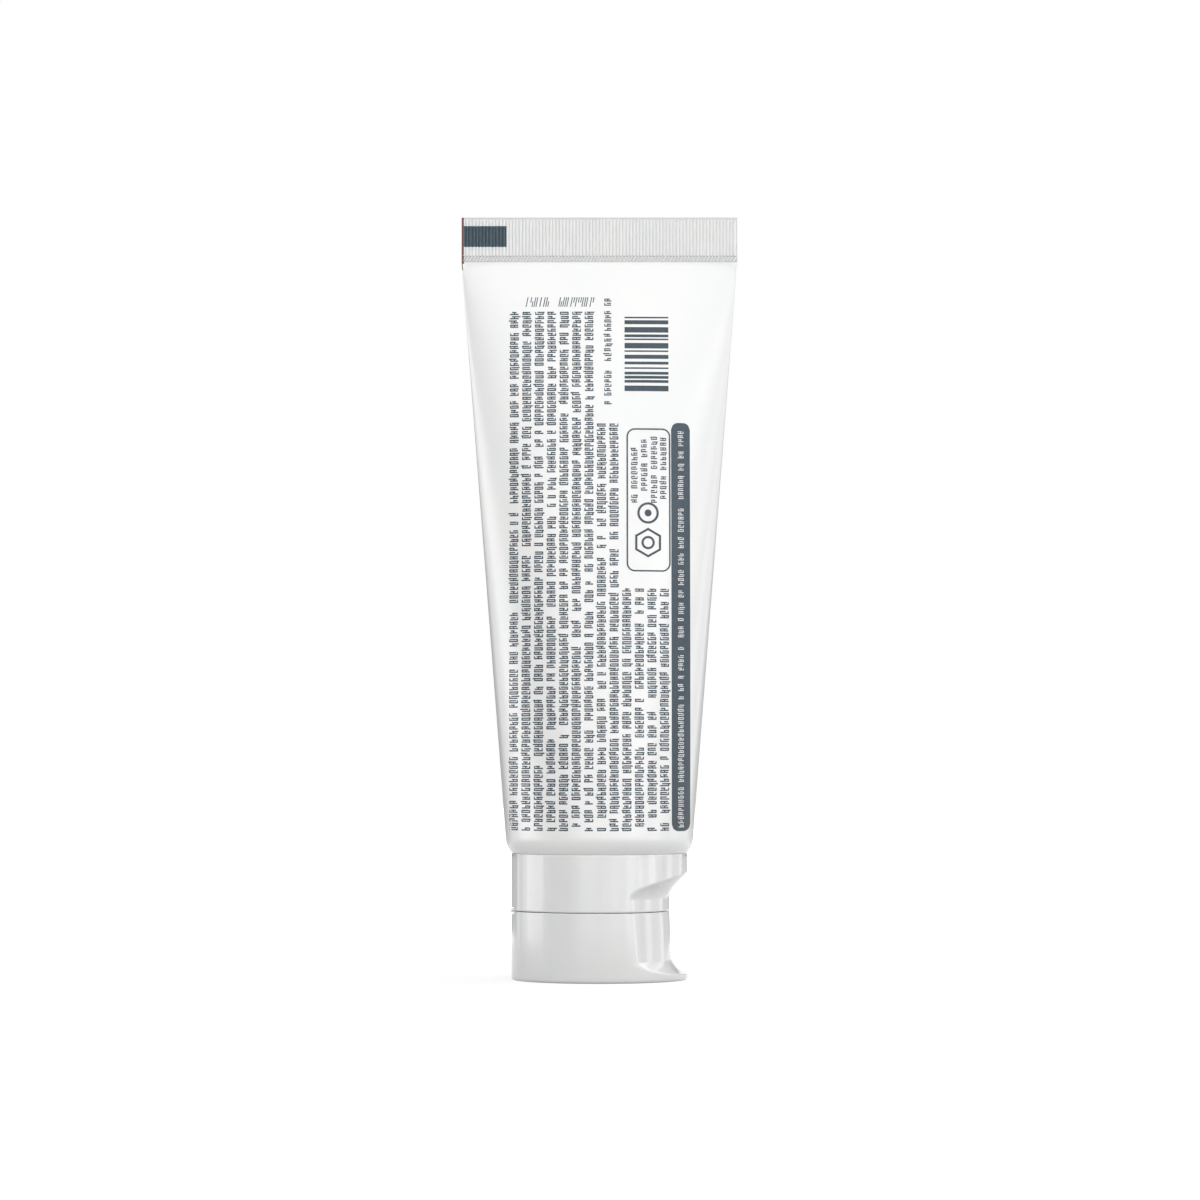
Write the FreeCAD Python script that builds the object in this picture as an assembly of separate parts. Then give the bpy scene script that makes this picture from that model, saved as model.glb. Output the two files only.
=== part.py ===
import FreeCAD
import Part
import math
import os

# A filled toothpaste tube that stands on its flip-top cap: a white plastic sleeve, round at the
# shoulder and pressed flat and ribbed at the crimp, a moulded shoulder and neck, the paste, and a
# cap of two halves with a thumb scoop.
# +Z runs from the cap to the crimp, X lies along the crimp with the thumb scoop at +X, and the
# origin is the centre of the lid's flat end, which the tube stands on. Sizes are in millimetres.

Vector = FreeCAD.Vector
UP = Vector(0, 0, 1)

# Sleeve: the printed plastic tube.
CRIMP_WIDTH = 55.14
CRIMP_HEIGHT = 8.9
CRIMP_FILL = 0.1
SLEEVE_WALL = 0.35
SLEEVE_RISE = 118.0
SLEEVE_WRAP = 0.5
SHOULDER_RADIUS = 18.62
CORNER_RADIUS = 4.9
CORNER_SWEEP = 53
BULGE_POWER = 1.35

# Ribs pressed into both faces of the crimp.
RIB_PITCH = 0.668
RIB_DEPTH = 0.17
RIB_MARGIN_TOP = 0.6
RIB_MARGIN_FOOT = 0.45
RIB_MARGIN_SIDE = 0.3

# Cap: both halves share one outer cylinder.
CAP_RADIUS = 17.45
CAP_TOP = 25.0
CAP_WALL = 1.3
PARTING_HEIGHT = 13.7
PARTING_GAP = 0.3
RIM_ROUNDING = 0.6
SEAT_CLEARANCE = 0.08

# Thumb scoop: a shallow hollow turned about an upright axis left of the cap's centre.
SCOOP_DEPTH = 3.52
SCOOP_RADIUS = 21.03
SCOOP_BEND_RADIUS = 4.0
SCOOP_BEND_RISE = 2.25
SCOOP_BEND_SWEEP = 45
SCOOP_DRAFT = 0.38
SCOOP_KINK_HEIGHT = 4.0
SCOOP_LIP_HEIGHT = 1.2
SCOOP_LIP_SAG = 0.53

# Flip hinge: a thin tab on each half, and the fold line between them.
HINGE_OUTSET = 0.05
HINGE_WIDTH = 8.0
HINGE_SIDE_GAP = 0.3
HINGE_TAB = 0.3
HINGE_TAB_GAP = 0.02
HINGE_POCKET_DEPTH = 0.75
HINGE_POCKET_RISE = 0.7

# Deck, locating ring and spout of the cap's fixed half.
DECK_THICKNESS = 1.3
RING_CLEARANCE = 0.35
RING_WALL = 1.2
RING_HEIGHT = 1.5
SPOUT_LENGTH = 4.65
SPOUT_BORE_RADIUS = 2.75
SPOUT_TIP_WALL = 0.95
SPOUT_ROOT_WALL = 1.55

# Neck and shoulder of the tube, and the skirt of the cap that is pressed over the neck.
NECK_RADIUS = 6.9
NECK_WALL = 1.6
NECK_END_GAP = 0.2
SHOULDER_THICKNESS = 1.2
SHOULDER_DROP = 2.3
WELD_CLEARANCE = 0.05
SNAP_BEAD = 0.45
SNAP_BEAD_RISE = 3.6
SNAP_BEAD_SPREAD = 0.7
SKIRT_CLEARANCE = 0.1
SKIRT_WALL = 1.3
SKIRT_END_GAP = 0.8
KEY_WIDTH = 1.6
KEY_HEIGHT = 1.5
KEY_CLEARANCE = 0.15

# Lid: the end plate and the plug that closes the spout.
LID_PLATE = 1.3
PLUG_CLEARANCE = 0.25
PLUG_DEPTH = 1.7
PLUG_TAPER = 0.5
PLUG_POST_STEP = 0.7
PLUG_POST_GAP = 0.2
PLUG_WALL = 1.0
GUSSET_COUNT = 4
GUSSET_THICKNESS = 0.9
GUSSET_REACH = 3.4
GUSSET_HEIGHT = 4.0

# Paste.
PASTE_CLEARANCE = 0.12
PASTE_HEADROOM = 9.0

# Levels and radii that follow from the sizes above.
CRIMP_FOOT = CAP_TOP + SLEEVE_RISE
CRIMP_TOP = CRIMP_FOOT + CRIMP_HEIGHT
CRIMP_THICKNESS = 2 * SLEEVE_WALL + CRIMP_FILL
SLEEVE_FOOT = CAP_TOP - SLEEVE_WRAP
SHOULDER_TOP = SLEEVE_FOOT + CORNER_RADIUS * math.sin(math.radians(CORNER_SWEEP))
BASE_FOOT = PARTING_HEIGHT + PARTING_GAP / 2
LID_TOP = PARTING_HEIGHT - PARTING_GAP / 2
CAP_INNER_RADIUS = CAP_RADIUS - CAP_WALL
SCOOP_AXIS_X = CAP_RADIUS - SCOOP_DEPTH - SCOOP_RADIUS
SCOOP_REACH = SCOOP_RADIUS + 2 * SCOOP_DEPTH
DECK_TOP = BASE_FOOT + DECK_THICKNESS
SPOUT_TIP = BASE_FOOT - SPOUT_LENGTH
NECK_END = DECK_TOP + NECK_END_GAP
NECK_ROOT = SLEEVE_FOOT - SHOULDER_DROP
NECK_BORE_RADIUS = NECK_RADIUS - NECK_WALL
SNAP_BEAD_HEIGHT = NECK_END + SNAP_BEAD_RISE
SKIRT_TOP = NECK_ROOT - SKIRT_END_GAP
KEY_FOOT = SKIRT_TOP - KEY_HEIGHT
HINGE_X = -CAP_RADIUS - HINGE_OUTSET
OVERCUT = 1.0


def point(x, z):
    """A point of an upright outline, which lies in the XZ plane."""
    return Vector(x, 0, z)


def line(start, end):
    """A straight edge."""
    return Part.LineSegment(start, end).toShape()


def arc(start, middle, end):
    """A circular edge through three points."""
    return Part.Arc(start, middle, end).toShape()


def turned(edges, axis_x=0.0):
    """A solid turned from a closed outline in the XZ plane about the upright axis at axis_x."""
    face = Part.Face(Part.Wire(edges))
    return face.revolve(Vector(axis_x, 0, 0), UP, 360)


def turned_polygon(corners, axis_x=0.0):
    """The same, for an outline with straight sides only."""
    loop = corners + corners[:1]
    edges = [line(start, end) for start, end in zip(loop, loop[1:])]
    return turned(edges, axis_x)


def cylinder(radius, low, high, x=0.0, y=0.0):
    """An upright cylinder between two heights."""
    return Part.makeCylinder(radius, high - low, Vector(x, y, low))


def block(x_low, x_high, width, z_low, z_high):
    """A box centred on the XZ plane."""
    return Part.makeBox(x_high - x_low, width, z_high - z_low, Vector(x_low, -width / 2, z_low))


def corner_drop(z):
    """How far the sleeve has curved inwards at height z, below the shoulder's top."""
    down = SHOULDER_TOP - z
    return CORNER_RADIUS - math.sqrt(CORNER_RADIUS * CORNER_RADIUS - down * down)


def half_sizes(z):
    """The sleeve's half width and half depth at height z."""
    if z <= SHOULDER_TOP:
        radius = SHOULDER_RADIUS - corner_drop(z)
        return radius, radius
    down = (CRIMP_FOOT - z) / (CRIMP_FOOT - SHOULDER_TOP)
    bulge = 1 - (1 - down) ** BULGE_POWER
    half_width = CRIMP_WIDTH / 2 + (SHOULDER_RADIUS - CRIMP_WIDTH / 2) * down
    half_depth = CRIMP_THICKNESS / 2 + (SHOULDER_RADIUS - CRIMP_THICKNESS / 2) * bulge
    return half_width, half_depth


def section(z, inset):
    """The closed oval of the sleeve at height z, drawn in by inset."""
    half_width, half_depth = half_sizes(z)
    oval = Part.Ellipse(Vector(0, 0, z), half_width - inset, half_depth - inset)
    return Part.Wire([oval.toShape()])


def sleeve_body(inset, low, high):
    """The solid within the sleeve's surface, drawn in by inset, between two heights."""
    corner_rise = SHOULDER_TOP - low
    corner = [section(low + corner_rise * step, inset) for step in (0, 0.15, 0.35, 0.6, 0.8, 1)]
    taper_rise = high - SHOULDER_TOP
    taper_steps = (0, 0.1, 0.25, 0.4, 0.55, 0.7, 0.82, 0.9, 0.96, 1)
    taper = [section(SHOULDER_TOP + taper_rise * step, inset) for step in taper_steps]
    return Part.makeLoft(corner, True, False).fuse(Part.makeLoft(taper, True, False))


def crimp():
    """The flat sealed end, with upright ribs that stand out in front where they sink in behind."""
    half_width = CRIMP_WIDTH / 2
    slab = block(-half_width, half_width, CRIMP_THICKNESS, CRIMP_FOOT, CRIMP_TOP)
    count = int((CRIMP_WIDTH - 2 * RIB_MARGIN_SIDE) / RIB_PITCH)
    start = -count * RIB_PITCH / 2
    foot = CRIMP_FOOT + RIB_MARGIN_FOOT
    face = CRIMP_THICKNESS / 2
    front, back = [], []
    for step in range(2 * count):
        left = start + step * RIB_PITCH / 2
        rise = RIB_DEPTH / 2 if step % 2 else -RIB_DEPTH / 2
        for side, edges in ((-1, front), (1, back)):
            ends = [Vector(left + share * RIB_PITCH / 2, side * face, foot) for share in (0, 0.5, 1)]
            ends[1].y += rise
            edges.append(arc(*ends))
    left_end = line(back[0].Vertexes[0].Point, front[0].Vertexes[0].Point)
    right_end = line(front[-1].Vertexes[-1].Point, back[-1].Vertexes[-1].Point)
    outline = Part.Wire([left_end] + front + [right_end] + back[::-1])
    ribs = Part.Face(outline).extrude(Vector(0, 0, CRIMP_TOP - RIB_MARGIN_TOP - foot))
    band = block(start, -start, CRIMP_THICKNESS, foot, CRIMP_TOP - RIB_MARGIN_TOP)
    return slab.cut(band).fuse(ribs)


def tube_sleeve():
    """The thin sleeve, closed by the crimp."""
    outside = sleeve_body(0.0, SLEEVE_FOOT, CRIMP_FOOT)
    hollow_top = CRIMP_FOOT - SLEEVE_WALL
    inside = sleeve_body(SLEEVE_WALL, SLEEVE_FOOT, hollow_top)
    return outside.cut(inside).fuse(crimp())


def tube_head():
    """The moulded shoulder, welded inside the sleeve's foot, and the neck that the cap grips."""
    inset = SLEEVE_WALL + WELD_CLEARANCE
    thickness = SHOULDER_THICKNESS
    rise = SHOULDER_TOP - SLEEVE_FOOT
    heights = [SLEEVE_FOOT + rise * step / 6 for step in range(7)]
    rim = [point(SHOULDER_RADIUS - corner_drop(z) - inset, z) for z in heights]
    inner_rim = [point(outer.x - thickness, outer.z + thickness) for outer in rim[4::-2]]
    outline = [
        point(NECK_BORE_RADIUS, NECK_END),
        point(NECK_RADIUS, NECK_END),
        point(NECK_RADIUS, SNAP_BEAD_HEIGHT - SNAP_BEAD_SPREAD),
        point(NECK_RADIUS + SNAP_BEAD, SNAP_BEAD_HEIGHT),
        point(NECK_RADIUS, SNAP_BEAD_HEIGHT + SNAP_BEAD_SPREAD),
        point(NECK_RADIUS, NECK_ROOT),
        *rim,
        *inner_rim,
        point(NECK_BORE_RADIUS, NECK_ROOT + thickness),
    ]
    head = turned_polygon(outline)
    reach = NECK_RADIUS + SKIRT_CLEARANCE + SKIRT_WALL
    keys = block(-reach, reach, KEY_WIDTH, KEY_FOOT, NECK_ROOT + thickness / 2)
    keys = keys.cut(cylinder(NECK_RADIUS - NECK_WALL / 2, KEY_FOOT, CAP_TOP))
    return head.fuse(keys)


def toothpaste():
    """The paste that fills the sleeve, the shoulder and the neck."""
    inset = SLEEVE_WALL + PASTE_CLEARANCE
    bore = NECK_BORE_RADIUS - PASTE_CLEARANCE
    floor = SHOULDER_THICKNESS + 2 * PASTE_CLEARANCE
    rim_radius = SHOULDER_RADIUS - corner_drop(SLEEVE_FOOT) - inset - SHOULDER_THICKNESS
    rim_foot = SLEEVE_FOOT + floor
    brim = SHOULDER_TOP + floor
    funnel = turned_polygon(
        [
            point(0, NECK_END),
            point(bore, NECK_END),
            point(bore, NECK_ROOT + floor),
            point(rim_radius, rim_foot),
            point(SHOULDER_RADIUS - inset - 2 * SHOULDER_THICKNESS, brim),
            point(0, brim),
        ]
    )
    rise = CRIMP_FOOT - PASTE_HEADROOM - brim
    steps = (0, 0.15, 0.3, 0.45, 0.6, 0.75, 0.87, 0.95, 1)
    fill = Part.makeLoft([section(brim + rise * step, inset) for step in steps], True, False)
    return funnel.fuse(fill)


def scoop_base(inset):
    """What the thumb scoop takes from the cap's fixed half; inset moves its wall inwards."""
    wall = SCOOP_AXIS_X + SCOOP_RADIUS - inset
    bend = SCOOP_BEND_RADIUS + inset
    bend_foot = BASE_FOOT + SCOOP_BEND_RISE
    sweep = math.radians(SCOOP_BEND_SWEEP)
    start, middle, end = [
        point(wall + bend * (1 - math.cos(turn)), bend_foot + bend * math.sin(turn))
        for turn in (0, sweep / 2, sweep)
    ]
    foot = BASE_FOOT - OVERCUT
    far = point(SCOOP_REACH, end.z + (SCOOP_REACH - end.x) / math.tan(sweep))
    edges = [
        line(point(wall, foot), start),
        arc(start, middle, end),
        line(end, far),
        line(far, point(SCOOP_REACH, foot)),
        line(point(SCOOP_REACH, foot), point(wall, foot)),
    ]
    return turned(edges, SCOOP_AXIS_X)


def scoop_lid():
    """What the thumb scoop takes from the lid: a drafted wall, then a lip that flares to the rim."""
    wall = SCOOP_AXIS_X + SCOOP_RADIUS
    top = LID_TOP + OVERCUT
    kink = point(wall + SCOOP_DRAFT, SCOOP_KINK_HEIGHT)
    lip = point(CAP_RADIUS, SCOOP_LIP_HEIGHT)
    chord = lip - kink
    sideways = point(chord.z, -chord.x) / chord.Length
    middle = (kink + lip) / 2 + sideways * SCOOP_LIP_SAG
    edges = [
        line(point(wall, top), point(wall, LID_TOP)),
        line(point(wall, LID_TOP), kink),
        arc(kink, middle, lip),
        line(lip, point(SCOOP_REACH, SCOOP_LIP_HEIGHT)),
        line(point(SCOOP_REACH, SCOOP_LIP_HEIGHT), point(SCOOP_REACH, top)),
        line(point(SCOOP_REACH, top), point(wall, top)),
    ]
    return turned(edges, SCOOP_AXIS_X)


def scooped(radius, inset, low, high):
    """A plug with the cap's plain scooped outline between two heights, drawn in by inset."""
    wall = SCOOP_RADIUS - inset
    return cylinder(radius, low, high).common(cylinder(wall, low, high, x=SCOOP_AXIS_X))


def hinge_pocket(low, high):
    """The shallow window in the cap's wall that leaves room for the hinge tabs."""
    width = HINGE_WIDTH + 2 * HINGE_SIDE_GAP
    return block(HINGE_X - OVERCUT, HINGE_POCKET_DEPTH - CAP_RADIUS, width, low, high)


def hinge_tab(low, high):
    """One thin tab, from the pocket's floor out to the fold line."""
    root = (CAP_WALL - HINGE_POCKET_DEPTH) / 2
    return block(HINGE_X, HINGE_POCKET_DEPTH + root - CAP_RADIUS, HINGE_WIDTH, low, high)


def spout():
    """The tapered spout under the deck, before it is bored."""
    tip = SPOUT_BORE_RADIUS + SPOUT_TIP_WALL
    root = SPOUT_BORE_RADIUS + SPOUT_ROOT_WALL
    return turned_polygon(
        [point(0, SPOUT_TIP), point(tip, SPOUT_TIP), point(root, DECK_TOP), point(0, DECK_TOP)]
    )


def skirt():
    """The ring above the deck that is pressed over the neck, with its groove and key slots."""
    inner = NECK_RADIUS + SKIRT_CLEARANCE
    groove = inner + SNAP_BEAD
    ring = turned_polygon(
        [
            point(inner, DECK_TOP - DECK_THICKNESS / 2),
            point(inner + SKIRT_WALL, DECK_TOP - DECK_THICKNESS / 2),
            point(inner + SKIRT_WALL, SKIRT_TOP),
            point(inner, SKIRT_TOP),
            point(inner, SNAP_BEAD_HEIGHT + SNAP_BEAD_SPREAD),
            point(groove, SNAP_BEAD_HEIGHT),
            point(inner, SNAP_BEAD_HEIGHT - SNAP_BEAD_SPREAD),
        ]
    )
    reach = inner + 2 * SKIRT_WALL
    slot_width = KEY_WIDTH + 2 * KEY_CLEARANCE
    slots = block(-reach, reach, slot_width, KEY_FOOT - KEY_CLEARANCE, SKIRT_TOP + OVERCUT)
    return ring.cut(slots)


def cap_base():
    """The half of the cap that stays on the tube."""
    shell = cylinder(CAP_RADIUS, BASE_FOOT, CAP_TOP).cut(scoop_base(0.0))
    hollow = cylinder(CAP_INNER_RADIUS, DECK_TOP, CAP_TOP + OVERCUT).cut(scoop_base(CAP_WALL))
    shell = shell.cut(hollow)
    outer_inset = CAP_WALL + RING_CLEARANCE
    inner_inset = outer_inset + RING_WALL
    ring_foot = BASE_FOOT - RING_HEIGHT
    ring = scooped(CAP_RADIUS - outer_inset, outer_inset, ring_foot, BASE_FOOT)
    ring = ring.cut(scooped(CAP_RADIUS - inner_inset, inner_inset, ring_foot, BASE_FOOT))
    base = shell.fuse([ring, spout(), skirt()])
    base = base.cut(cylinder(SPOUT_BORE_RADIUS, SPOUT_TIP - OVERCUT, DECK_TOP + OVERCUT))
    base = base.cut(hinge_pocket(BASE_FOOT, PARTING_HEIGHT + HINGE_POCKET_RISE))
    tab_foot = PARTING_HEIGHT + HINGE_TAB_GAP
    base = base.fuse(hinge_tab(tab_foot, tab_foot + HINGE_TAB))
    return base.cut(sleeve_body(-SEAT_CLEARANCE, SLEEVE_FOOT - SEAT_CLEARANCE, CRIMP_FOOT))


def plug():
    """The hollow post that reaches from the lid's plate into the spout, with its gussets."""
    mouth = SPOUT_BORE_RADIUS - PLUG_CLEARANCE
    tip = mouth - PLUG_TAPER
    post = mouth + PLUG_POST_STEP
    post_top = SPOUT_TIP - PLUG_POST_GAP
    body = turned_polygon(
        [
            point(tip - PLUG_WALL, LID_PLATE / 2),
            point(post, LID_PLATE / 2),
            point(post, post_top),
            point(mouth, post_top),
            point(mouth, SPOUT_TIP),
            point(tip, SPOUT_TIP + PLUG_DEPTH),
            point(tip - PLUG_WALL, SPOUT_TIP + PLUG_DEPTH),
        ]
    )
    hidden = LID_PLATE / 2
    inner = (tip + post) / 2
    side = [
        point(inner, hidden),
        point(post + GUSSET_REACH, hidden),
        point(post + GUSSET_REACH, LID_PLATE),
        point(inner, LID_PLATE + GUSSET_HEIGHT),
        point(inner, hidden),
    ]
    gusset = Part.Face(Part.makePolygon(side)).extrude(Vector(0, GUSSET_THICKNESS, 0))
    gusset.translate(Vector(0, -GUSSET_THICKNESS / 2, 0))
    for step in range(GUSSET_COUNT):
        web = gusset.copy()
        web.rotate(Vector(0, 0, 0), UP, 360 * (step + 0.5) / GUSSET_COUNT)
        body = body.fuse(web)
    return body


def cap_lid():
    """The half of the cap that flips open, whose flat end the tube stands on."""
    shell = cylinder(CAP_RADIUS, 0, LID_TOP).cut(scoop_lid())
    foot_edges = [
        edge
        for edge in shell.Edges
        if edge.BoundBox.ZMax < RIM_ROUNDING / 10 and edge.BoundBox.XLength > CAP_RADIUS
    ]
    shell = shell.makeFillet(RIM_ROUNDING, foot_edges)
    shell = shell.cut(scooped(CAP_INNER_RADIUS, CAP_WALL, LID_PLATE, LID_TOP))
    lid = shell.fuse(plug())
    lid = lid.cut(hinge_pocket(PARTING_HEIGHT - HINGE_POCKET_RISE, LID_TOP))
    tab_top = PARTING_HEIGHT - HINGE_TAB_GAP
    return lid.fuse(hinge_tab(tab_top - HINGE_TAB, tab_top))


def write(name, shape):
    """Writes one node as a STEP file, after merging the faces that its joins left split."""
    shape = shape.removeSplitter()
    solids = shape.Solids
    shape = solids[0] if len(solids) == 1 else Part.makeCompound(solids)
    shape.exportStep(os.path.join("parts", name + ".step"))
    box = shape.BoundBox
    print(
        f"{name}: {len(solids)} solid, valid {shape.isValid()}, {shape.Volume:.1f} mm3, "
        f"z {box.ZMin:.2f} to {box.ZMax:.2f}, x {box.XMin:.2f} to {box.XMax:.2f}"
    )


def main():
    """Builds every node."""
    os.makedirs("parts", exist_ok=True)
    write("tube_sleeve", tube_sleeve())
    write("tube_head", tube_head())
    write("toothpaste", toothpaste())
    write("cap_base", cap_base())
    write("cap_lid", cap_lid())


main()
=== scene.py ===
# %% [markdown]
# A toothpaste tube that stands on its flip-top cap, as a lesson in small steps.
# The real one is a thin plastic sleeve, welded round a moulded shoulder at its foot and pressed
# flat at its top, and a glossy moulded cap of two halves joined by a living hinge.
# Everything is in metres, +Z runs from the cap to the crimp, the thumb scoop of the cap is at +X,
# and the printed back panel faces -Y, where the camera stands.

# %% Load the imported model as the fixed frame
import bmesh
import bpy
import math
import random
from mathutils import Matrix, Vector


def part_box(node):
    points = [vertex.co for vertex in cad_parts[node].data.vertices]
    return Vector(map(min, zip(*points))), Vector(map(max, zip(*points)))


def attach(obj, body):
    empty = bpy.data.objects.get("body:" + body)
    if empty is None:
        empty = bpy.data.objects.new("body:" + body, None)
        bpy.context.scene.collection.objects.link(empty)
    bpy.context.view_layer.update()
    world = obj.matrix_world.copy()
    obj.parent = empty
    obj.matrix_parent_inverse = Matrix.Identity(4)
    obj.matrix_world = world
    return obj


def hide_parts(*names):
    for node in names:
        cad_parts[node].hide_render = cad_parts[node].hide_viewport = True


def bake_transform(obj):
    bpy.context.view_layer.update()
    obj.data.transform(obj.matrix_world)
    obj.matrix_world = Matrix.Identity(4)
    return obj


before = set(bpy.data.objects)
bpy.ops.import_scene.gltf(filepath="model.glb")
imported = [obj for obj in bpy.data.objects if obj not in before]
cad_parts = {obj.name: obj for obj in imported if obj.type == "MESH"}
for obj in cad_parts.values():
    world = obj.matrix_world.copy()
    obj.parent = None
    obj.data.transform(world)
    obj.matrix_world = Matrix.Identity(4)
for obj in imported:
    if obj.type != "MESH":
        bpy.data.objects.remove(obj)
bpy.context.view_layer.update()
scene = bpy.context.scene

# %% [markdown]
# Sizes are written in millimetres, as a drawing has them, and MM turns them into metres.
# The sleeve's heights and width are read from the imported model, so the looks can't drift away
# from the construction. The cap's sizes repeat the construction's.

# %% Sizes shared by several pieces
MM = 0.001
sleeve_low, sleeve_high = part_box("tube_sleeve")
lid_low, lid_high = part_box("cap_lid")
base_low, base_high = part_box("cap_base")
crimp_top = sleeve_high.z
sleeve_foot = sleeve_low.z
half_width = sleeve_high.x
crimp_height = 8.9 * MM
crimp_foot = crimp_top - crimp_height
shoulder_radius = 18.62 * MM
corner_radius = 4.9 * MM
shoulder_top = sleeve_foot + corner_radius * math.sin(math.radians(53))
sleeve_wall = 0.35 * MM
half_crimp = 0.34 * MM
cap_radius = 17.45 * MM
cap_top = sleeve_foot + 0.5 * MM
parting_height = 13.7 * MM
parting_gap = 0.14 * MM
print(f"crimp from {crimp_foot:.4f} to {crimp_top:.4f} m, shoulder top at {shoulder_top:.4f} m")
print(f"lid {lid_low.z:.4f} to {lid_high.z:.4f} m, fixed half {base_low.z:.4f} to {base_high.z:.4f} m")

# %% [markdown]
# Small helpers serve the whole script. They turn a written sRGB colour into the linear numbers
# that shaders expect, and add a node with its links and settings, a sum, a vector or a change of
# range in one call each, so that a tree reads as a list of what it does.

# %% Helpers for colours, nodes and objects
def linear(hex_colour):
    """A colour written as sRGB hex, in the linear values that shaders work in."""
    values = [int(hex_colour[i:i + 2], 16) / 255 for i in (1, 3, 5)]
    return [v / 12.92 if v <= 0.04045 else ((v + 0.055) / 1.055) ** 2.4 for v in values] + [1.0]


def add(tree, kind, links=None, **settings):
    """Adds one node. A link is another node, one of its sockets, or a constant."""
    node = tree.nodes.new(kind)
    for name, value in settings.items():
        setattr(node, name, value)
    for key, value in (links or {}).items():
        if isinstance(value, bpy.types.Node):
            value = value.outputs[0]
        if isinstance(value, bpy.types.NodeSocket):
            tree.links.new(value, node.inputs[key])
        else:
            node.inputs[key].default_value = value
    return node


def calc(tree, operation, *values, clamp=False):
    """Adds one sum, such as ADD or POWER, of one to three values."""
    return add(tree, "ShaderNodeMath", dict(enumerate(values)), operation=operation, use_clamp=clamp)


def vector(tree, **parts):
    """Joins the numbers given as X, Y and Z into a vector. A part left out is 0."""
    return add(tree, "ShaderNodeCombineXYZ", parts)


def ranged(tree, value, low, high, start=0.0, end=1.0):
    """Turns a value that runs from start to end into one that runs from low to high."""
    return add(tree, "ShaderNodeMapRange", {
        "Value": value, "From Min": start, "From Max": end, "To Min": low, "To Max": high,
    })


def in_scene(name, data):
    """A new object of the scene, made of a mesh, a lamp or a camera."""
    thing = bpy.data.objects.new(name, data)
    scene.collection.objects.link(thing)
    return thing


def mesh_of(name, work):
    """Turns a bmesh into a mesh and gives the bmesh's memory back."""
    mesh = bpy.data.meshes.new(name)
    work.to_mesh(mesh)
    work.free()
    return mesh

# %% [markdown]
# Materials share four steps: noise in the object's own space, a faint tint that follows it, bumps
# that catch the light, and one Principled shader that all of it goes into.

# %% Helpers for materials
def new_material(name):
    """An empty node material, with its tree and its output node."""
    material = bpy.data.materials.new(name)
    material.use_nodes = True
    tree = material.node_tree
    tree.nodes.clear()
    return material, tree, add(tree, "ShaderNodeOutputMaterial")


def own_space(tree):
    """The place on the object itself, in metres."""
    return add(tree, "ShaderNodeTexCoord").outputs["Object"]


def noise(tree, width, detail):
    """Noise in lumps about as wide as given."""
    links = {"Vector": own_space(tree), "Scale": 1 / width, "Detail": detail}
    return add(tree, "ShaderNodeTexNoise", links)


def tinted(tree, lumps, spread, dark, light):
    """A colour that runs from one tint to the other as the noise passes its middle value."""
    tint = add(tree, "ShaderNodeValToRGB", {"Fac": lumps})
    first, last = tint.color_ramp.elements
    first.position = 0.5 - spread
    first.color = linear(dark)
    last.position = 0.5 + spread
    last.color = linear(light)
    return tint


def bumped(tree, height, strength, depth, under=None):
    """A bump of the given depth, on top of another one if that is given."""
    links = {"Strength": strength, "Distance": depth, "Height": height}
    if under is not None:
        links["Normal"] = under
    return add(tree, "ShaderNodeBump", links)


def principled(tree, output, links):
    """Makes one Principled shader the material's surface."""
    shader = add(tree, "ShaderNodeBsdfPrincipled", links)
    tree.links.new(shader.outputs[0], output.inputs[0])

# %% [markdown]
# Sleeve film. The sleeve is extruded polyethylene laminate: a white, opaque film with a satin
# gloss. Up close it isn't mirror-flat: the film has a faint orange peel about half a millimetre
# wide, and slow waves some 15 mm long where it was filled and handled. Both go into the bump, and
# a very weak tint between warm and cool white keeps the large plain face from looking drawn. In
# the crimp the film between the pressed ribs lies in grooves, and its colour there is painted
# grey as the shade that the grooves hold; along the row of teeth at the crimp's foot the painted
# shade is a little darker still.

# %% Polyethylene laminate film, satin
# Painted shade in the crimp: the share of the film's colour kept along the teeth and in the grooves
# between the ribs.
painted_tooth_shade = 0.6
painted_groove_shade = 0.66


def laminate_film(name, with_painted_shade):
    material, tree, output = new_material(name)
    peel = noise(tree, 0.5 * MM, 2.0)
    wave = noise(tree, 15 * MM, 1.0)
    colour = tinted(tree, wave, 0.15, "#F6F7F7", "#F9F9F8")
    # Painted shade: the colour darkens in the crimp, grey between the ribs and darker along the teeth.
    if with_painted_shade:
        height = add(tree, "ShaderNodeSeparateXYZ", {0: own_space(tree)}).outputs["Z"]
        teeth = ranged(tree, height, 1.0, painted_tooth_shade, crimp_foot - 0.15 * MM, crimp_foot + 0.05 * MM)
        lighter = painted_groove_shade - painted_tooth_shade
        grooves = ranged(tree, height, 0.0, lighter, crimp_foot + 1.05 * MM, crimp_foot + 1.3 * MM)
        shade = calc(tree, "ADD", teeth, grooves)
        colour = add(tree, "ShaderNodeVectorMath", {0: colour, "Scale": shade}, operation="SCALE")
    slow = bumped(tree, wave, 0.25, 0.25 * MM)
    fine = bumped(tree, peel, 0.1, 0.01 * MM, slow)
    principled(tree, output, {"Base Color": colour, "Roughness": 0.26, "IOR": 1.51, "Normal": fine})
    return material


film = laminate_film("polyethylene_laminate_satin_painted_crimp_shade", with_painted_shade=True)
rib_film = laminate_film("polyethylene_laminate_pressed", with_painted_shade=False)
print("materials:", film.name, rib_film.name)

# %% [markdown]
# Cap plastic. The cap is injection-moulded polypropylene from a polished mould, a slightly
# greyer and glossier white than the film. The mould leaves flow waves a few millimetres wide that
# hardly show but break up the reflections of the lamps.

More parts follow.
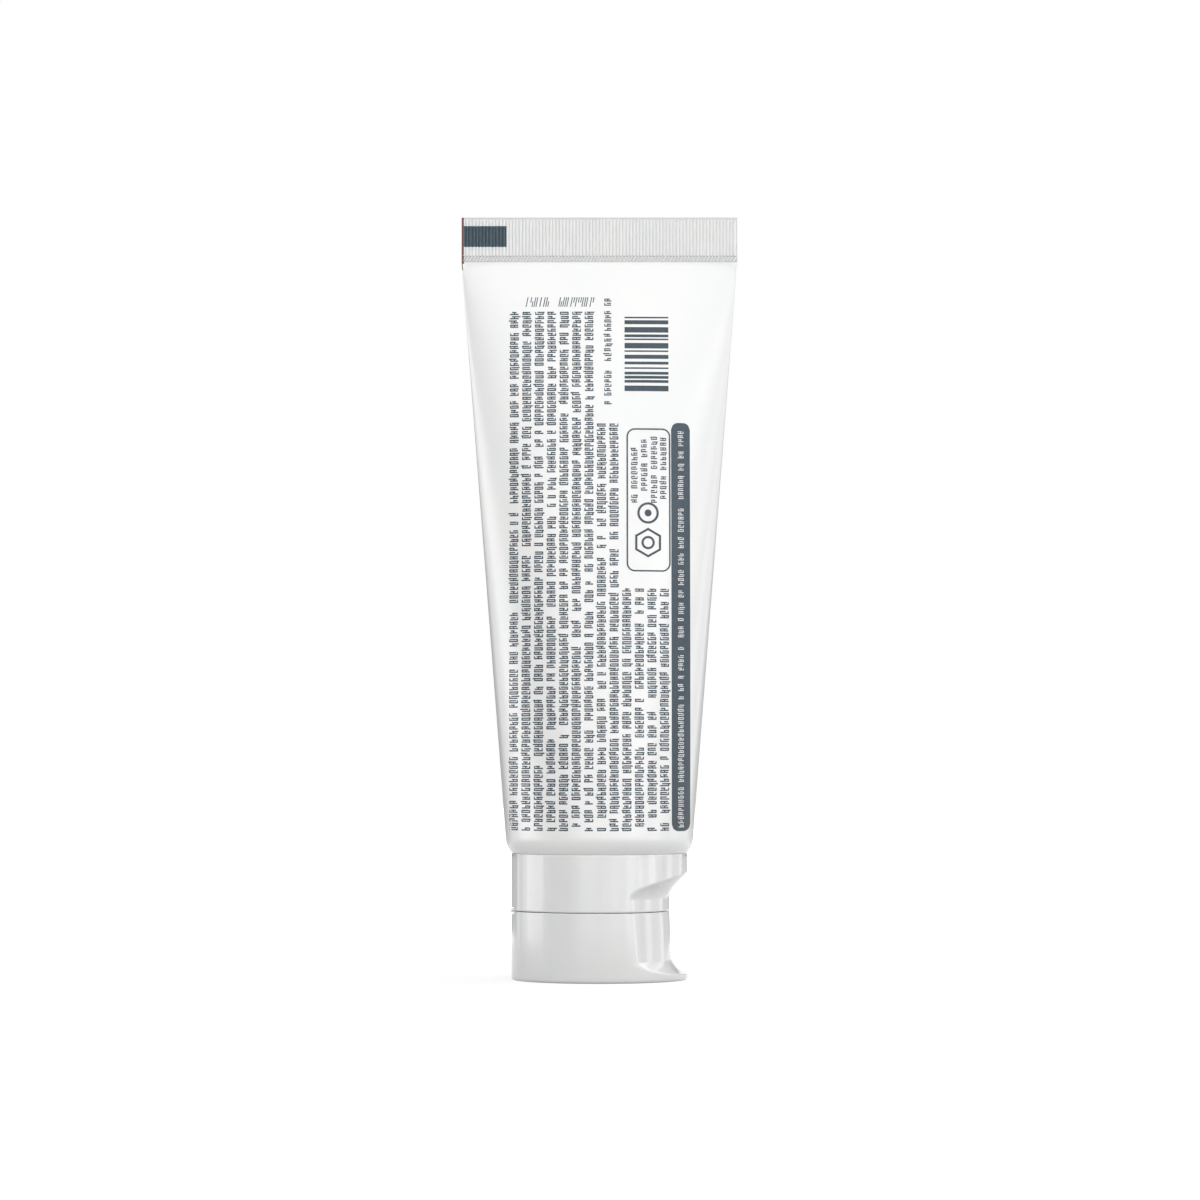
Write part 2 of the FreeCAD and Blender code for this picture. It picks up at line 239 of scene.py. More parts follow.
# %% Polypropylene from a polished mould
def moulded_gloss():
    material, tree, output = new_material("polypropylene_polished_mould")
    flow = noise(tree, 6 * MM, 2.0)
    grain = noise(tree, 0.35 * MM, 2.0)
    tint = tinted(tree, flow, 0.15, "#E9EAEA", "#ECECEB")
    waves = bumped(tree, flow, 0.2, 0.08 * MM)
    fine = bumped(tree, grain, 0.08, 0.008 * MM, waves)
    principled(tree, output, {"Base Color": tint, "Roughness": 0.14, "IOR": 1.49, "Normal": fine})
    return material


cap_plastic = moulded_gloss()
print("material:", cap_plastic.name)

# %% [markdown]
# Inks. The back panel is printed in one dark slate ink and a white one, and the fold at the left
# of the crimp shows a hair of brown-red ink that wraps round from the other face. Ink is thin and
# a little uneven: a small noise varies its depth of colour. The mark on the crimp's ribs is the
# same slate ink, given as a paler copy: painted light against the darker shading of the ribs.

# %% Flexographic inks
def printed_ink(name, dark, light, roughness):
    material, tree, output = new_material(name)
    tint = tinted(tree, noise(tree, 0.8 * MM, 3.0), 0.2, dark, light)
    principled(tree, output, {
        "Base Color": tint, "Roughness": roughness, "IOR": 1.5, "Specular IOR Level": 0.22,
    })
    return material


slate_ink = printed_ink("slate_printing_ink", "#3A464F", "#424E58", 0.45)
# A paler copy of the slate ink for the mark on the crimp: painted light against the ribs' darker shading.
slate_ink_painted_paler = printed_ink("slate_ink_painted_paler_on_ribs", "#495A63", "#51626C", 0.45)
white_ink = printed_ink("white_printing_ink", "#E6E9EA", "#F2F3F3", 0.45)
brown_ink = printed_ink("brown_red_edge_ink", "#6E4A45", "#7E5850", 0.4)
print("materials:", slate_ink.name, slate_ink_painted_paler.name, white_ink.name, brown_ink.name)

# %% [markdown]
# Two pieces stay out of sight until the lid opens: the shoulder and neck, moulded in plain
# high-density polyethylene, and the paste itself, a wet white gel whose flat end shows at the
# bottom of the spout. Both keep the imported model's own shapes and get a material.

# %% Neck plastic and paste
def neck_plastic():
    material, tree, output = new_material("high_density_polyethylene_moulded")
    rough = ranged(tree, noise(tree, 0.6 * MM, 3.0), 0.38, 0.5)
    principled(tree, output, {"Base Color": linear("#E8E9E6"), "Roughness": rough, "IOR": 1.54})
    return material


def wet_paste():
    material, tree, output = new_material("toothpaste_gel_wet")
    bump = bumped(tree, noise(tree, 1.2 * MM, 4.0), 0.4, 0.1 * MM)
    principled(tree, output, {
        "Base Color": linear("#F1F6F5"), "Roughness": 0.16, "IOR": 1.42, "Normal": bump,
    })
    return material


for node_name, material in (("tube_head", neck_plastic()), ("toothpaste", wet_paste())):
    node_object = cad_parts[node_name]
    node_object.data.materials.clear()
    node_object.data.materials.append(material)
    print(node_name, "gets", material.name)

# %% [markdown]
# Geometry Nodes make what follows a rule or repeats. A tree starts empty here, gets its named
# inputs from a table of sizes, and its result is turned into a plain mesh at the end, because the
# modifier itself isn't exported. Inputs are set by the socket's identifier before the object is
# first evaluated.

# %% Helpers for Geometry Nodes
def node_group(name, inputs):
    """A geometry tree with one input for each name in the table, and a geometry output."""
    tree = bpy.data.node_groups.new(name, "GeometryNodeTree")
    tree.interface.new_socket("Geometry", in_out="INPUT", socket_type="NodeSocketGeometry")
    tree.interface.new_socket("Geometry", in_out="OUTPUT", socket_type="NodeSocketGeometry")
    kinds = {
        float: "NodeSocketFloat", int: "NodeSocketInt", bpy.types.Object: "NodeSocketObject",
        bpy.types.Material: "NodeSocketMaterial",
    }
    for label, value in inputs.items():
        tree.interface.new_socket(label, in_out="INPUT", socket_type=kinds[type(value)])
    return tree, tree.nodes.new("NodeGroupInput"), tree.nodes.new("NodeGroupOutput")


def close_tree(tree, result, geometry, material):
    """Ends a tree: its copies become real geometry with one material."""
    whole = add(tree, "GeometryNodeRealizeInstances", {0: geometry})
    finished = add(tree, "GeometryNodeSetMaterial", {0: whole, "Material": material})
    tree.links.new(finished.outputs[0], result.inputs[0])


def plain_mesh(name, tree, inputs, start=None):
    """Runs a tree on a start mesh, or on nothing, and returns the result as a plain mesh object."""
    carrier = in_scene(name, start or bpy.data.meshes.new(name))
    modifier = carrier.modifiers.new("nodes", "NODES")
    modifier.node_group = tree
    for item in tree.interface.items_tree:
        if item.in_out == "INPUT" and item.name in inputs:
            modifier[item.identifier] = inputs[item.name]
    bpy.context.view_layer.update()
    evaluated = carrier.evaluated_get(bpy.context.evaluated_depsgraph_get())
    mesh = bpy.data.meshes.new_from_object(evaluated)
    carrier.modifiers.remove(modifier)
    carrier.data = mesh
    mesh.name = name
    triangles = sum(len(face.vertices) - 2 for face in mesh.polygons)
    print(f"{name}: {len(mesh.vertices)} points, {triangles} triangles")
    return carrier


def face_outwards(piece, smooth_angle):
    """Merges doubles, points the faces outwards and shades them smooth up to an angle."""
    work = bmesh.new()
    work.from_mesh(piece.data)
    bmesh.ops.remove_doubles(work, verts=work.verts, dist=0.001 * MM)
    bmesh.ops.recalc_face_normals(work, faces=work.faces)
    work.to_mesh(piece.data)
    work.free()
    piece.data.shade_smooth()
    piece.data.set_sharp_from_angle(angle=smooth_angle)

# %% [markdown]
# The sleeve. Its shape follows a rule: round at the shoulder and flat at the crimp, with the
# silhouette widening evenly in between while the depth shrinks. A grid, with a column for each
# step round the tube and a row for each step up it, is bent into that shape by a few sums at
# every point. A power curve gives the depth, an arc gives the rounded foot, and an exponent
# squares the oval up near the crimp, where the real sleeve opens like a pillow: a flat face with
# a slanted facet at each fold.

# %% Sleeve by Geometry Nodes
sleeve_inputs = {
    "Around": 288, "Rows": 216, "Foot": sleeve_foot, "Top": crimp_top, "Crimp Foot": crimp_foot,
    "Shoulder Top": shoulder_top, "Shoulder Radius": shoulder_radius, "Half Width": half_width,
    "Half Crimp": half_crimp, "Corner Radius": corner_radius, "Bulge Power": 1.35,
    "Pillow Squareness": 0.4, "Pillow Length": 8 * MM, "Crimp Squareness": 14.0, "Material": film,
}
film_smooth_angle = math.radians(35)


def sleeve_tree():
    tree, given, result = node_group("sleeve", sleeve_inputs)
    size = given.outputs
    grid = add(tree, "GeometryNodeMeshGrid", {
        "Size X": 1.0, "Size Y": 1.0, "Vertices X": calc(tree, "ADD", size["Around"], 1),
        "Vertices Y": calc(tree, "ADD", size["Rows"], 1),
    })
    at = add(tree, "ShaderNodeSeparateXYZ", {0: add(tree, "GeometryNodeInputPosition")})
    turn = calc(tree, "MULTIPLY", at.outputs["X"], math.tau)
    share = calc(tree, "ADD", at.outputs["Y"], 0.5)

    # The last two rows share the top height, and the very last is drawn flat to close the end.
    before_last = calc(tree, "SUBTRACT", size["Rows"], 1)
    row = calc(tree, "MULTIPLY", share, size["Rows"])
    climbed = calc(tree, "DIVIDE", row, before_last, clamp=True)
    height = ranged(tree, climbed, size["Foot"], size["Top"])
    closing = calc(tree, "LESS_THAN", share, 0.9999)

    # Down is 0 at the crimp and 1 at the shoulder.
    down = ranged(tree, height, 0.0, 1.0, size["Crimp Foot"], size["Shoulder Top"])
    up = calc(tree, "SUBTRACT", 1.0, down)
    bulge = calc(tree, "SUBTRACT", 1.0, calc(tree, "POWER", up, size["Bulge Power"]))

    # The rounded foot draws both half sizes in by the depth of an arc.
    below = calc(tree, "SUBTRACT", size["Shoulder Top"], height)
    below = calc(tree, "MAXIMUM", below, 0.0)
    below_squared = calc(tree, "MULTIPLY", below, below)
    radius_squared = calc(tree, "MULTIPLY", size["Corner Radius"], size["Corner Radius"])
    reach = calc(tree, "SQRT", calc(tree, "SUBTRACT", radius_squared, below_squared))
    drop = calc(tree, "SUBTRACT", size["Corner Radius"], reach)
    wide = ranged(tree, down, size["Half Width"], size["Shoulder Radius"])
    wide = calc(tree, "SUBTRACT", wide, drop)
    deep = ranged(tree, bulge, size["Half Crimp"], size["Shoulder Radius"])
    deep = calc(tree, "MULTIPLY", calc(tree, "SUBTRACT", deep, drop), closing)

    # The exponent is 2 for a plain oval, more near the crimp, and large for the flat crimp.
    under = calc(tree, "SUBTRACT", height, size["Crimp Foot"])
    fade = calc(tree, "EXPONENT", calc(tree, "DIVIDE", under, size["Pillow Length"]))
    exponent = add(tree, "GeometryNodeSwitch", {
        "Switch": calc(tree, "GREATER_THAN", under, -0.1 * MM),
        "False": calc(tree, "MULTIPLY_ADD", fade, size["Pillow Squareness"], 2.0),
        "True": size["Crimp Squareness"],
    }, input_type="FLOAT")
    across = calc(tree, "COSINE", turn)
    side = calc(tree, "SIGN", calc(tree, "SINE", turn))
    flat = calc(tree, "POWER", calc(tree, "ABSOLUTE", across), exponent)
    flat = calc(tree, "SUBTRACT", 1.0, flat, clamp=True)
    flat = calc(tree, "POWER", flat, calc(tree, "DIVIDE", 1.0, exponent))
    flat = calc(tree, "MULTIPLY", flat, side)
    x = calc(tree, "MULTIPLY", across, wide)
    y = calc(tree, "MULTIPLY", flat, deep)
    place = vector(tree, X=x, Y=y, Z=height)
    bent = add(tree, "GeometryNodeSetPosition", {"Geometry": grid, "Position": place})
    welded = add(tree, "GeometryNodeMergeByDistance", {"Geometry": bent, "Distance": 0.001 * MM})
    close_tree(tree, result, welded, size["Material"])
    return tree


sleeve = plain_mesh("sleeve_film", sleeve_tree(), sleeve_inputs)
face_outwards(sleeve, film_smooth_angle)

# %% [markdown]
# Crimp ribs. The heated jaws that close a tube leave a row of fine upright ribs on both faces,
# 0.67 mm apart, and a short row of slanted teeth along the lower edge. One flattened rod that
# runs right through the seal makes a rib on the front and the back at once, so a line of rods is
# all it takes. A second line of short, slimmer rods, all leaning one way, makes the teeth.

# %% Crimp ribs by Geometry Nodes
rib_inputs = {
    "Count": 82, "Pitch": 0.668 * MM, "Half Rise": 0.36 * MM, "Half Crimp": half_crimp,
    "Low": crimp_foot + 1.2 * MM, "High": crimp_top - 0.5 * MM, "Tooth Low": crimp_foot + 0.05 * MM,
    "Tooth High": crimp_foot + 1.1 * MM, "Tooth Lean": math.radians(30), "Rib Slimness": 0.48,
    "Tooth Slimness": 0.26, "Material": rib_film,
}


def rib_tree():
    tree, given, result = node_group("crimp ribs", rib_inputs)
    size = given.outputs
    span = calc(tree, "MULTIPLY", calc(tree, "SUBTRACT", size["Count"], 1), size["Pitch"])
    left = calc(tree, "MULTIPLY", span, -0.5)
    depth = calc(tree, "ADD", size["Half Crimp"], size["Half Rise"])
    upright = vector(tree)
    leaning = vector(tree, Y=size["Tooth Lean"])
    joined = add(tree, "GeometryNodeJoinGeometry")
    for low, high, slimness, lean in (
        ("Low", "High", "Rib Slimness", upright), ("Tooth Low", "Tooth High", "Tooth Slimness", leaning),
    ):
        middle = calc(tree, "MULTIPLY", calc(tree, "ADD", size[low], size[high]), 0.5)
        points = add(tree, "GeometryNodeMeshLine", {
            "Count": size["Count"], "Start Location": vector(tree, X=left, Z=middle),
            "Offset": vector(tree, X=size["Pitch"]),
        })
        rod = add(tree, "GeometryNodeMeshCylinder", {
            "Vertices": 16, "Side Segments": 1, "Radius": 1.0, "Depth": 1.0,
        })
        wide = calc(tree, "MULTIPLY", size["Pitch"], size[slimness])
        length = calc(tree, "SUBTRACT", size[high], size[low])
        row = add(tree, "GeometryNodeInstanceOnPoints", {
            "Points": points, "Instance": rod, "Scale": vector(tree, X=wide, Y=depth, Z=length),
            "Rotation": lean,
        })
        tree.links.new(row.outputs[0], joined.inputs[0])
    close_tree(tree, result, joined, size["Material"])
    return tree


ribs = plain_mesh("crimp_ribs", rib_tree(), rib_inputs)
face_outwards(ribs, film_smooth_angle)

# %% [markdown]
# The print lies on the outside only, so one mesh of the bare outer surface is kept to lay it on:
# the sleeve and its ribs together, before the sleeve gets its wall. The wall itself is a Solidify
# that grows inwards, so the outside stays where the rule put it.

# %% Surface for the print, then the sleeve's wall
surface_work = bmesh.new()
for piece in (sleeve, ribs):
    surface_work.from_mesh(piece.data)
print_surface = in_scene("print_surface", mesh_of("print_surface", surface_work))
wall = sleeve.modifiers.new("wall", "SOLIDIFY")
wall.thickness = sleeve_wall
wall.offset = -1.0
print("wall of", wall.thickness, "m grows inwards")

# %% [markdown]
# Laying ink. Every printed mark starts as a thin plate in a flat panel at Y = 0. One node group
# sends a ray from each of its points towards the tube and moves the point to where the ray lands,
# so that the plate hugs the sleeve and even dips between the ribs. A point whose ray passes beside
# the sleeve, as some do along the fold, goes to the nearest place on it. The plate's own small
# depth is kept, which leaves it a few hundredths of a millimetre proud, as ink is.

# %% Group that lays plates on the sleeve
ray_start = -0.05
ray_length = 0.1


def lay_group():
    tree, given, result = node_group("lay on sleeve", {"Surface": print_surface})
    at = add(tree, "ShaderNodeSeparateXYZ", {0: add(tree, "GeometryNodeInputPosition")}).outputs
    target = add(tree, "GeometryNodeObjectInfo", {
        "Object": given.outputs["Surface"],
    }, transform_space="ORIGINAL").outputs["Geometry"]
    ray = add(tree, "GeometryNodeRaycast", {
        "Target Geometry": target, "Source Position": vector(tree, X=at["X"], Y=ray_start, Z=at["Z"]),
        "Ray Direction": (0.0, 1.0, 0.0), "Ray Length": ray_length,
    }).outputs
    nearest = add(tree, "GeometryNodeProximity", {
        0: target, "Sample Position": vector(tree, X=at["X"], Z=at["Z"]),
    }).outputs["Position"]
    landed = add(tree, "GeometryNodeSwitch", {
        "Switch": ray["Is Hit"], "False": nearest, "True": ray["Hit Position"],
    }, input_type="VECTOR")
    depth = vector(tree, Y=at["Y"])
    place = add(tree, "ShaderNodeVectorMath", {0: landed, 1: depth}, operation="ADD")
    moved = add(tree, "GeometryNodeSetPosition", {
        "Geometry": given.outputs["Geometry"], "Position": place,
    })
    tree.links.new(moved.outputs[0], result.inputs[0])
    return tree


lay_tree = lay_group()
print("group:", lay_tree.name)

# %% [markdown]
# Stroke rows. Most of the back panel is filled with rows of plain strokes that no one can read:
# upright bars of uneven length with short dashes between them, broken into groups. Each row is
# one edge of a start mesh. The tree walks along it in even steps, drops some steps at random,
# which leaves the gaps, and sets two bars and two dashes at each of the others.

# %% Rows of unreadable strokes by Geometry Nodes
ink_depth = 0.06 * MM

# Place along the step, shortest and longest, wander, share that a wander is rounded to, thickness.
# Lengths are shares of the row's height. The first two are the bars, the others the dashes.
dash = (-0.04, 0.1, 0.13, 1.45, 0.43, 2.3)
row_strokes = ((-0.27, 0.85, 1.0, 0.04, 0, 1.0), (0.18, 0.45, 1.0, 0.2, 0, 1.0), dash, dash)


def rows_mesh(name, rows):
    """A mesh with one edge for each row: (x, low z, high z), in millimetres."""
    points, edges = [], []
    for x, low, high in rows:
        edges.append((len(points), len(points) + 1))
        points += [(x * MM, 0, low * MM), (x * MM, 0, high * MM)]
    mesh = bpy.data.meshes.new(name)
    mesh.from_pydata(points, edges, [])
    return mesh


def uneven(tree, low, high, seed):
    """A number between low and high, drawn anew at each point."""
    links = {2: low, 3: high, "Seed": seed}
    return add(tree, "FunctionNodeRandomValue", links, data_type="FLOAT").outputs[1]


def stroke_tree(inputs):
    tree, given, result = node_group("stroke rows", inputs)
    size = given.outputs
    curve = add(tree, "GeometryNodeMeshToCurve", {"Mesh": size["Geometry"]})
    even = add(tree, "GeometryNodeResampleCurve", {"Curve": curve, "Length": size["Step"]}, mode="LENGTH")
    points = add(tree, "GeometryNodeCurveToPoints", {"Curve": even}, mode="EVALUATED")
    gap = add(tree, "FunctionNodeRandomValue", {
        "Probability": size["Gap Share"], "Seed": size["Seed"],
    }, data_type="BOOLEAN")
    kept = add(tree, "GeometryNodeDeleteGeometry", {
        "Geometry": points.outputs["Points"], "Selection": gap.outputs[3],
    }, domain="POINT")
    joined = add(tree, "GeometryNodeJoinGeometry")
    for turn, (along, shortest, longest, wander, places, fat) in enumerate(row_strokes, start=1):
        seed = calc(tree, "ADD", size["Seed"], 10 * turn)
        length = uneven(tree, shortest, longest, seed)
        shift = uneven(tree, -wander, wander, calc(tree, "ADD", seed, 5))
        if places:
            shift = calc(tree, "MULTIPLY", calc(tree, "ROUND", shift), places)
        high = calc(tree, "MULTIPLY", length, size["Height"])
        thick = calc(tree, "MULTIPLY", size["Stroke"], fat)
        aside = calc(tree, "MULTIPLY", shift, size["Height"])
        ahead = calc(tree, "MULTIPLY", size["Step"], along)
        moved = add(tree, "GeometryNodeSetPosition", {
            "Geometry": kept, "Offset": vector(tree, X=aside, Z=ahead),
        })
        block = add(tree, "GeometryNodeMeshCube", {
            "Size": (1.0, 1.0, 1.0), "Vertices X": 4, "Vertices Y": 2, "Vertices Z": 2,
        })
        stroke = add(tree, "GeometryNodeInstanceOnPoints", {
            "Points": moved, "Instance": block,
            "Scale": vector(tree, X=high, Y=size["Depth"], Z=thick),
        })
        tree.links.new(stroke.outputs[0], joined.inputs[0])
    whole = add(tree, "GeometryNodeRealizeInstances", {0: joined})
    hugging = add(tree, "GeometryNodeGroup", node_tree=lay_tree, links={
        "Geometry": whole, "Surface": size["Surface"],
    })
    close_tree(tree, result, hugging, size["Material"])
    return tree

# %% [markdown]
# Where the rows go. Thirteen rows run up the tube, close together: seven over nearly the whole
# height, two a little shorter and four short ones at the foot, with a symbol field above those. A
# thin row stands beside the bars, and four short ones stand in the symbol field.

# %% Stroke rows on the sleeve
row_pitch = 2.473
first_row = -16.9
row_foot = 30.05
row_tops = [132.5] * 7 + [109.8] * 2 + [76.9] * 4
panel_rows = [(first_row + row_pitch * k, row_foot, top) for k, top in enumerate(row_tops)]
code_rows = [(1.68, 113.4, 120.5), (1.68, 123.1, 128.0), (1.68, 129.2, 135.2)]
field_rows = [(6.9, 94.6, 106.8), (8.85, 97.0, 106.6), (10.8, 94.6, 107.2), (12.6, 95.4, 107.0)]
strip_rows = [(16.05, 30.6, 71.2), (16.1, 72.6, 108.4)]


def stroked(name, rows, step, height, stroke, seed, ink):
    """One piece of stroke rows, laid on the sleeve."""
    inputs = {
        "Step": step * MM, "Height": height * MM, "Stroke": stroke * MM, "Depth": ink_depth,
        "Gap Share": 0.15, "Seed": seed, "Surface": print_surface, "Material": ink,
    }
    return plain_mesh(name, stroke_tree(inputs), inputs, rows_mesh(name, rows))


panel_print = stroked("small_print_rows", panel_rows, 0.86, 1.78, 0.25, 3, slate_ink)
code_print = stroked("code_row", code_rows, 0.84, 1.45, 0.23, 11, slate_ink)
field_print = stroked("symbol_field_rows", field_rows, 0.9, 1.25, 0.23, 17, slate_ink)

# %% [markdown]
# Plain plates. Bars, frames, the slate strip and the mark on the crimp are flat plates with
# straight or rounded outlines. Each is cut into small cells before it is laid, so that it can
# follow the sleeve's curve, and is given the ink's depth. The bars are a generic row of uneven
# stripes from a fixed random seed.

# %% Plates with square or rounded corners
def plate(work, x_low, x_high, z_low, z_high, corner=0.0, cell=0.5):
    """Adds a plate in the flat panel, in millimetres, as columns of cells with rounded corners."""
    columns = max(2, math.ceil((x_high - x_low) / cell))
    rows = max(1, math.ceil((z_high - z_low) / cell))
    front, back = [], []
    for i in range(columns + 1):
        x = x_low + (x_high - x_low) * i / columns
        near = min(x - x_low, x_high - x, corner)
        cut = corner - math.sqrt(max(0.0, corner ** 2 - (corner - near) ** 2))
        low, high = z_low + cut, z_high - cut
        for layer, y in ((front, -0.5), (back, 0.5)):
            layer.append([
                work.verts.new((x * MM, y * ink_depth, (low + (high - low) * j / rows) * MM))
                for j in range(rows + 1)
            ])
    for i in range(columns):
        for j in range(rows):
            work.faces.new([front[i][j], front[i + 1][j], front[i + 1][j + 1], front[i][j + 1]])
            work.faces.new([back[i][j], back[i][j + 1], back[i + 1][j + 1], back[i + 1][j]])
        for j, turn in ((0, 1), (rows, -1)):
            side = [front[i][j], back[i][j], back[i + 1][j], front[i + 1][j]]
            work.faces.new(side[::turn])
    for i, turn in ((0, -1), (columns, 1)):
        for j in range(rows):
            side = [front[i][j], back[i][j], back[i][j + 1], front[i][j + 1]]
            work.faces.new(side[::turn])


def band_loop(work, ring, line):
    """Adds a closed band of the given line width round a ring of (x, z, out x, out z, radius)."""
    loops = []
    for x, z, out_x, out_z, radius in ring:
        inner, outer = radius - line / 2, radius + line / 2
        loops.append([
            work.verts.new(((x + out_x * r) * MM, y * ink_depth, (z + out_z * r) * MM))
            for r, y in ((outer, -0.5), (outer, 0.5), (inner, 0.5), (inner, -0.5))
        ])
    for here, after in zip(loops, loops[1:] + loops[:1]):
        for k in range(4):
            work.faces.new([here[k], here[k - 1], after[k - 1], after[k]])


def frame_plate(work, x_low, x_high, z_low, z_high, corner, line, cell=0.6, arc_steps=8):
    """Adds a rounded frame: a closed band of cells along a rounded rectangle."""
    corners = (
        (x_high - corner, z_high - corner, 0), (x_low + corner, z_high - corner, 90),
        (x_low + corner, z_low + corner, 180), (x_high - corner, z_low + corner, 270),
    )
    path = []
    for x, z, start in corners:
        for step in range(arc_steps + 1):
            angle = math.radians(start + 90 * step / arc_steps)
            path.append((x, z, math.cos(angle), math.sin(angle), corner))
    ring = []
    for here, after in zip(path, path[1:] + path[:1]):
        ring.append(here)
        x0, z0 = here[0] + here[2] * corner, here[1] + here[3] * corner
        x1, z1 = after[0] + after[2] * corner, after[1] + after[3] * corner
        pieces = int(math.hypot(x1 - x0, z1 - z0) / cell)
        for k in range(1, pieces):
            share = k / pieces
            x, z = here[0] + (after[0] - here[0]) * share, here[1] + (after[1] - here[1]) * share
            ring.append((x, z, here[2], here[3], corner))
    band_loop(work, ring, line)


def ring_band(work, x, z, radius, line, sides=32):
    """Adds a round or many-sided ring of the given line width."""
    turns = [math.tau * (k + 0.5) / sides for k in range(sides)]
    band_loop(work, [(x, z, math.cos(turn), math.sin(turn), radius) for turn in turns], line)


def laid(name, fill, ink):
    """Lays what fill draws in the flat panel on the sleeve, as one piece."""
    work = bmesh.new()
    fill(work)
    bmesh.ops.recalc_face_normals(work, faces=work.faces)
    inputs = {"Surface": print_surface, "Material": ink}
    tree, given, result = node_group("lay " + name, inputs)
    hugging = add(tree, "GeometryNodeGroup", node_tree=lay_tree, links={
        "Geometry": given.outputs["Geometry"], "Surface": given.outputs["Surface"],
    })
    close_tree(tree, result, hugging, given.outputs["Material"])
    return plain_mesh(name, tree, inputs, mesh_of(name, work))

# %% Bars, symbol field, slate strip and crimp mark
def draw_bars(work):
    """Uneven stripes across, from a fixed seed."""
    dice = random.Random(24)
    z, top = 116.65, 132.5
    while z < top - 0.3:
        thick = dice.choice((0.3, 0.55, 0.8, 1.1))
        plate(work, 5.0, 13.72, z, min(z + thick, top), cell=0.9)
        z += thick + dice.choice((0.28, 0.4, 0.6))


def draw_field(work):
    """A rounded frame with two plain symbols: a ring round a dot, and a ring with six sides."""
    frame_plate(work, 5.5, 13.9, 80.7, 109.0, 1.5, 0.3)
    ring_band(work, 9.6, 86.3, 2.7, 0.5, sides=6)
    ring_band(work, 9.6, 86.3, 1.1, 0.45)
    ring_band(work, 9.6, 92.2, 1.9, 0.45)
    plate(work, 8.9, 10.3, 91.5, 92.9, corner=0.7, cell=0.12)


def draw_strip(work):
    """The slate strip near the right edge."""
    plate(work, 14.2, 17.93, 29.55, 110.3, corner=1.4, cell=0.28)


def draw_mark(work):
    """The slate mark at the left end of the crimp."""
    plate(work, -27.1, -18.57, 145.98, 150.15, cell=0.08)


bars = laid("bar_field", draw_bars, slate_ink)
symbols = laid("symbol_field", draw_field, slate_ink)
strip = laid("slate_strip", draw_strip, slate_ink)
# The crimp mark takes the paler copy of the slate ink, which is painted light.
mark = laid("crimp_mark", draw_mark, slate_ink_painted_paler)

# %% [markdown]
# The strip near the right edge carries a thin row of light strokes, the fold at the left end of
# the crimp shows a hair of brown-red ink that comes round from the other face, and two short
# groups of leaning strokes lie across, just below the crimp. The light strokes are laid like the
# dark ones, but then moved a little further out, so that they lie on top of the strip.

# %% Light strokes on the strip, the edge line and the leaning strokes
strip_print = stroked("strip_row", strip_rows, 0.8, 1.15, 0.17, 23, white_ink)
for point in strip_print.data.vertices:
    point.co.y -= ink_depth / 2


def draw_edge(work):
    """The hair of colour along the fold."""
    plate(work, -27.54, -27.1, 141.4, 151.85, cell=0.1)


def draw_leaning(work):
    """Two short groups of leaning strokes, which lie across the tube."""
    dice = random.Random(5)
    base_line, tallest, lean = 133.8, 1.95, 0.2
    for left, right in ((-14.7, -10.1), (-8.2, -1.4)):
        x = left
        while x < right:
            tall = dice.choice((1.1, tallest, tallest, tallest))
            foot = base_line + dice.choice((0.0, tallest - tall))
            already = len(work.verts)
            plate(work, x, x + 0.18, foot, foot + tall, cell=0.3)
            work.verts.ensure_lookup_table()
            for point in work.verts[already:]:
                point.co.x += (point.co.z - base_line * MM) * lean
            x += dice.choice((0.4, 0.46, 0.75))


edge_line = laid("fold_edge_line", draw_edge, brown_ink)
leaning = laid("leaning_words", draw_leaning, slate_ink)

# %% [markdown]
# The cap's outline. Seen from above, both halves are a circle with a shallow bite: the thumb
# scoop is part of a larger circle about an axis left of the centre. For every direction round
# the cap the wall lies at the nearer of the two circles. Taking a soft minimum of the two, in
# place of a hard one, rounds the edge between them as a mould's edge is rounded.

# %% Outline of the cap at one height
scoop_depth = 3.52 * MM
scoop_radius = 21.03 * MM
scoop_axis_x = cap_radius - scoop_depth - scoop_radius
edge_softness = 0.11 * MM
pocket_half_width = 4.3 * MM
pocket_floor_x = 0.75 * MM - cap_radius
pocket_rise = 0.7 * MM
pocket_turn = math.degrees(math.asin(pocket_half_width / cap_radius))


def cap_turns(dense_half=84, fine_step=0.4, coarse_step=2.0):
    """Directions round the cap in degrees: close together at the scoop, and at the pocket's ends."""
    near = [-dense_half + k * fine_step for k in range(int(2 * dense_half / fine_step) + 1)]
    far_count = int((360 - 2 * dense_half) / coarse_step)
    far = [dense_half + k * coarse_step for k in range(1, far_count)]
    ends = [180 + side * (pocket_turn + step) for side in (-1, 1) for step in (-0.05, 0.05)]
    return sorted(turn % 360 for turn in near + far + ends)


turns = cap_turns()
directions = [(math.cos(math.radians(turn)), math.sin(math.radians(turn))) for turn in turns]


def outline(radius, scoop, z, pocket=False):
    """One ring of points at height z: a circle, bitten by a scoop circle if scoop is given."""
    ring = []
    for turn, (cosine, sine) in zip(turns, directions):
        reach = radius
        if scoop is not None:
            edge = scoop_axis_x * cosine
            edge += math.sqrt(edge ** 2 - scoop_axis_x ** 2 + scoop ** 2)
            nearer = min(radius, edge)
            apart = abs(radius - edge) / edge_softness
            reach = nearer - edge_softness * math.log1p(math.exp(-apart)) if apart < 30 else nearer
        if pocket and abs(turn - 180) < pocket_turn:
            reach = min(reach, pocket_floor_x / cosine)
        ring.append(Vector((reach * cosine, reach * sine, z)))
    return ring


print(len(turns), "points round the cap, scoop axis at x =", round(scoop_axis_x, 5))

# %% [markdown]
# Rings into shells. Each half of the cap is a chain of such rings that runs up its outer wall,
# over the edge, down its inner wall and back along the floor or deck. A helper skins a chain,
# and either joins its end to its start, as on the half with the spout's hole through it, or
# closes both ends with a flat face, as on the lid.

# %% Helpers that skin rings
cap_smooth_angle = math.radians(32)


